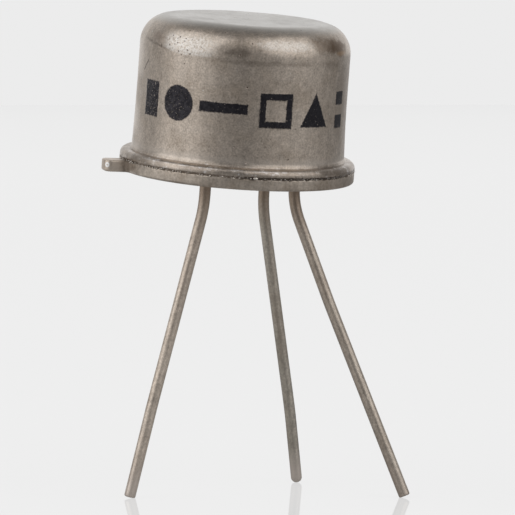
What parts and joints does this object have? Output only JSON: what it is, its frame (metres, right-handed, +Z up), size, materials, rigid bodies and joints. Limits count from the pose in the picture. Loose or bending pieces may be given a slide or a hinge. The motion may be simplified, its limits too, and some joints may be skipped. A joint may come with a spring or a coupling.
{
  "type": "npn transistor",
  "caption": "Small NPN transistor in a round flanged metal can with a locating tab and splayed round wire leads.",
  "frame": {"origin": "centre of the header's underside, the face that meets a board", "axes": "+Z straight up from the surface that the leads stand on; -X towards the locating tab; the can leans 7.45 degrees from +Z towards 285.4 degrees from +X"},
  "size_m": [0.0112, 0.0092, 0.0188],
  "materials": {
    "cap_plating": "satin nickel plating on drawn steel",
    "header_plating": "dull nickel plating on stamped steel",
    "lead_plating": "dull tinned wire",
    "seal_glass": "dark sealing glass",
    "braze": "plated braze",
    "gold_solder": "gold and silicon solder",
    "silicon": "polished silicon",
    "chip_metal": "evaporated aluminium",
    "bond_wire": "drawn gold wire"
  },
  "bodies": {
    "root": {"cap": "cap_plating", "header": "header_plating", "emitter_glass": "seal_glass", "base_glass": "seal_glass", "emitter_lead": "lead_plating", "base_lead": "lead_plating", "collector_lead": "lead_plating", "collector_braze": "braze", "die_solder": "gold_solder", "die": "silicon", "emitter_metal": "chip_metal", "base_metal": "chip_metal", "emitter_wire": "bond_wire", "base_wire": "bond_wire"}
  },
  "joints": []
}
